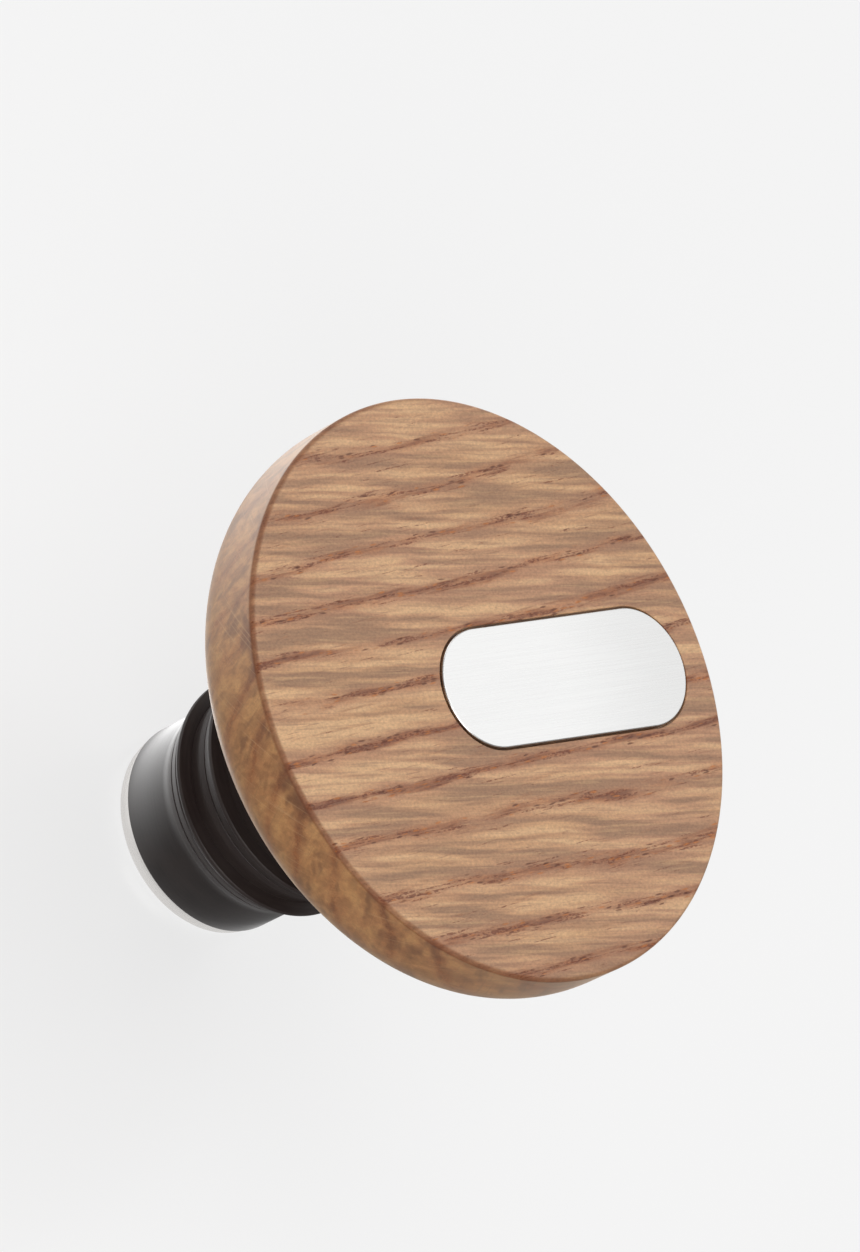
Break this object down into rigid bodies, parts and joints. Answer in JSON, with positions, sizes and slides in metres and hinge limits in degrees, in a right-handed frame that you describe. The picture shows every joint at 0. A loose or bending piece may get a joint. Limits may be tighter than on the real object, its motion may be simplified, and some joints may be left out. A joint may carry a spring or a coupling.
{
  "type": "wooden bottle stopper",
  "caption": "Bottle stopper with a turned oak knob, a flush brushed steel plate in its face, and a black finned silicone plug on a steel core",
  "frame": {"origin": "centre of the core's flat end, on the turning axis", "axes": "+Z turning axis from the plug's end up to the knob's face, +X the plate's long direction from its end near the axis outwards, +Y completes the right-handed frame"},
  "size_m": [0.0498, 0.0498, 0.0371],
  "materials": {
    "oak": "fine sanded, thin matt oil",
    "steel": "brushed",
    "zinc_steel": "zinc plated, satin",
    "silicone": "satin",
    "adhesive": "matt"
  },
  "bodies": {
    "root": {"knob": "oak", "plate": "steel", "adhesive_pad": "adhesive", "fixing_screw": "zinc_steel", "core": "steel", "seal": "silicone"}
  },
  "joints": []
}
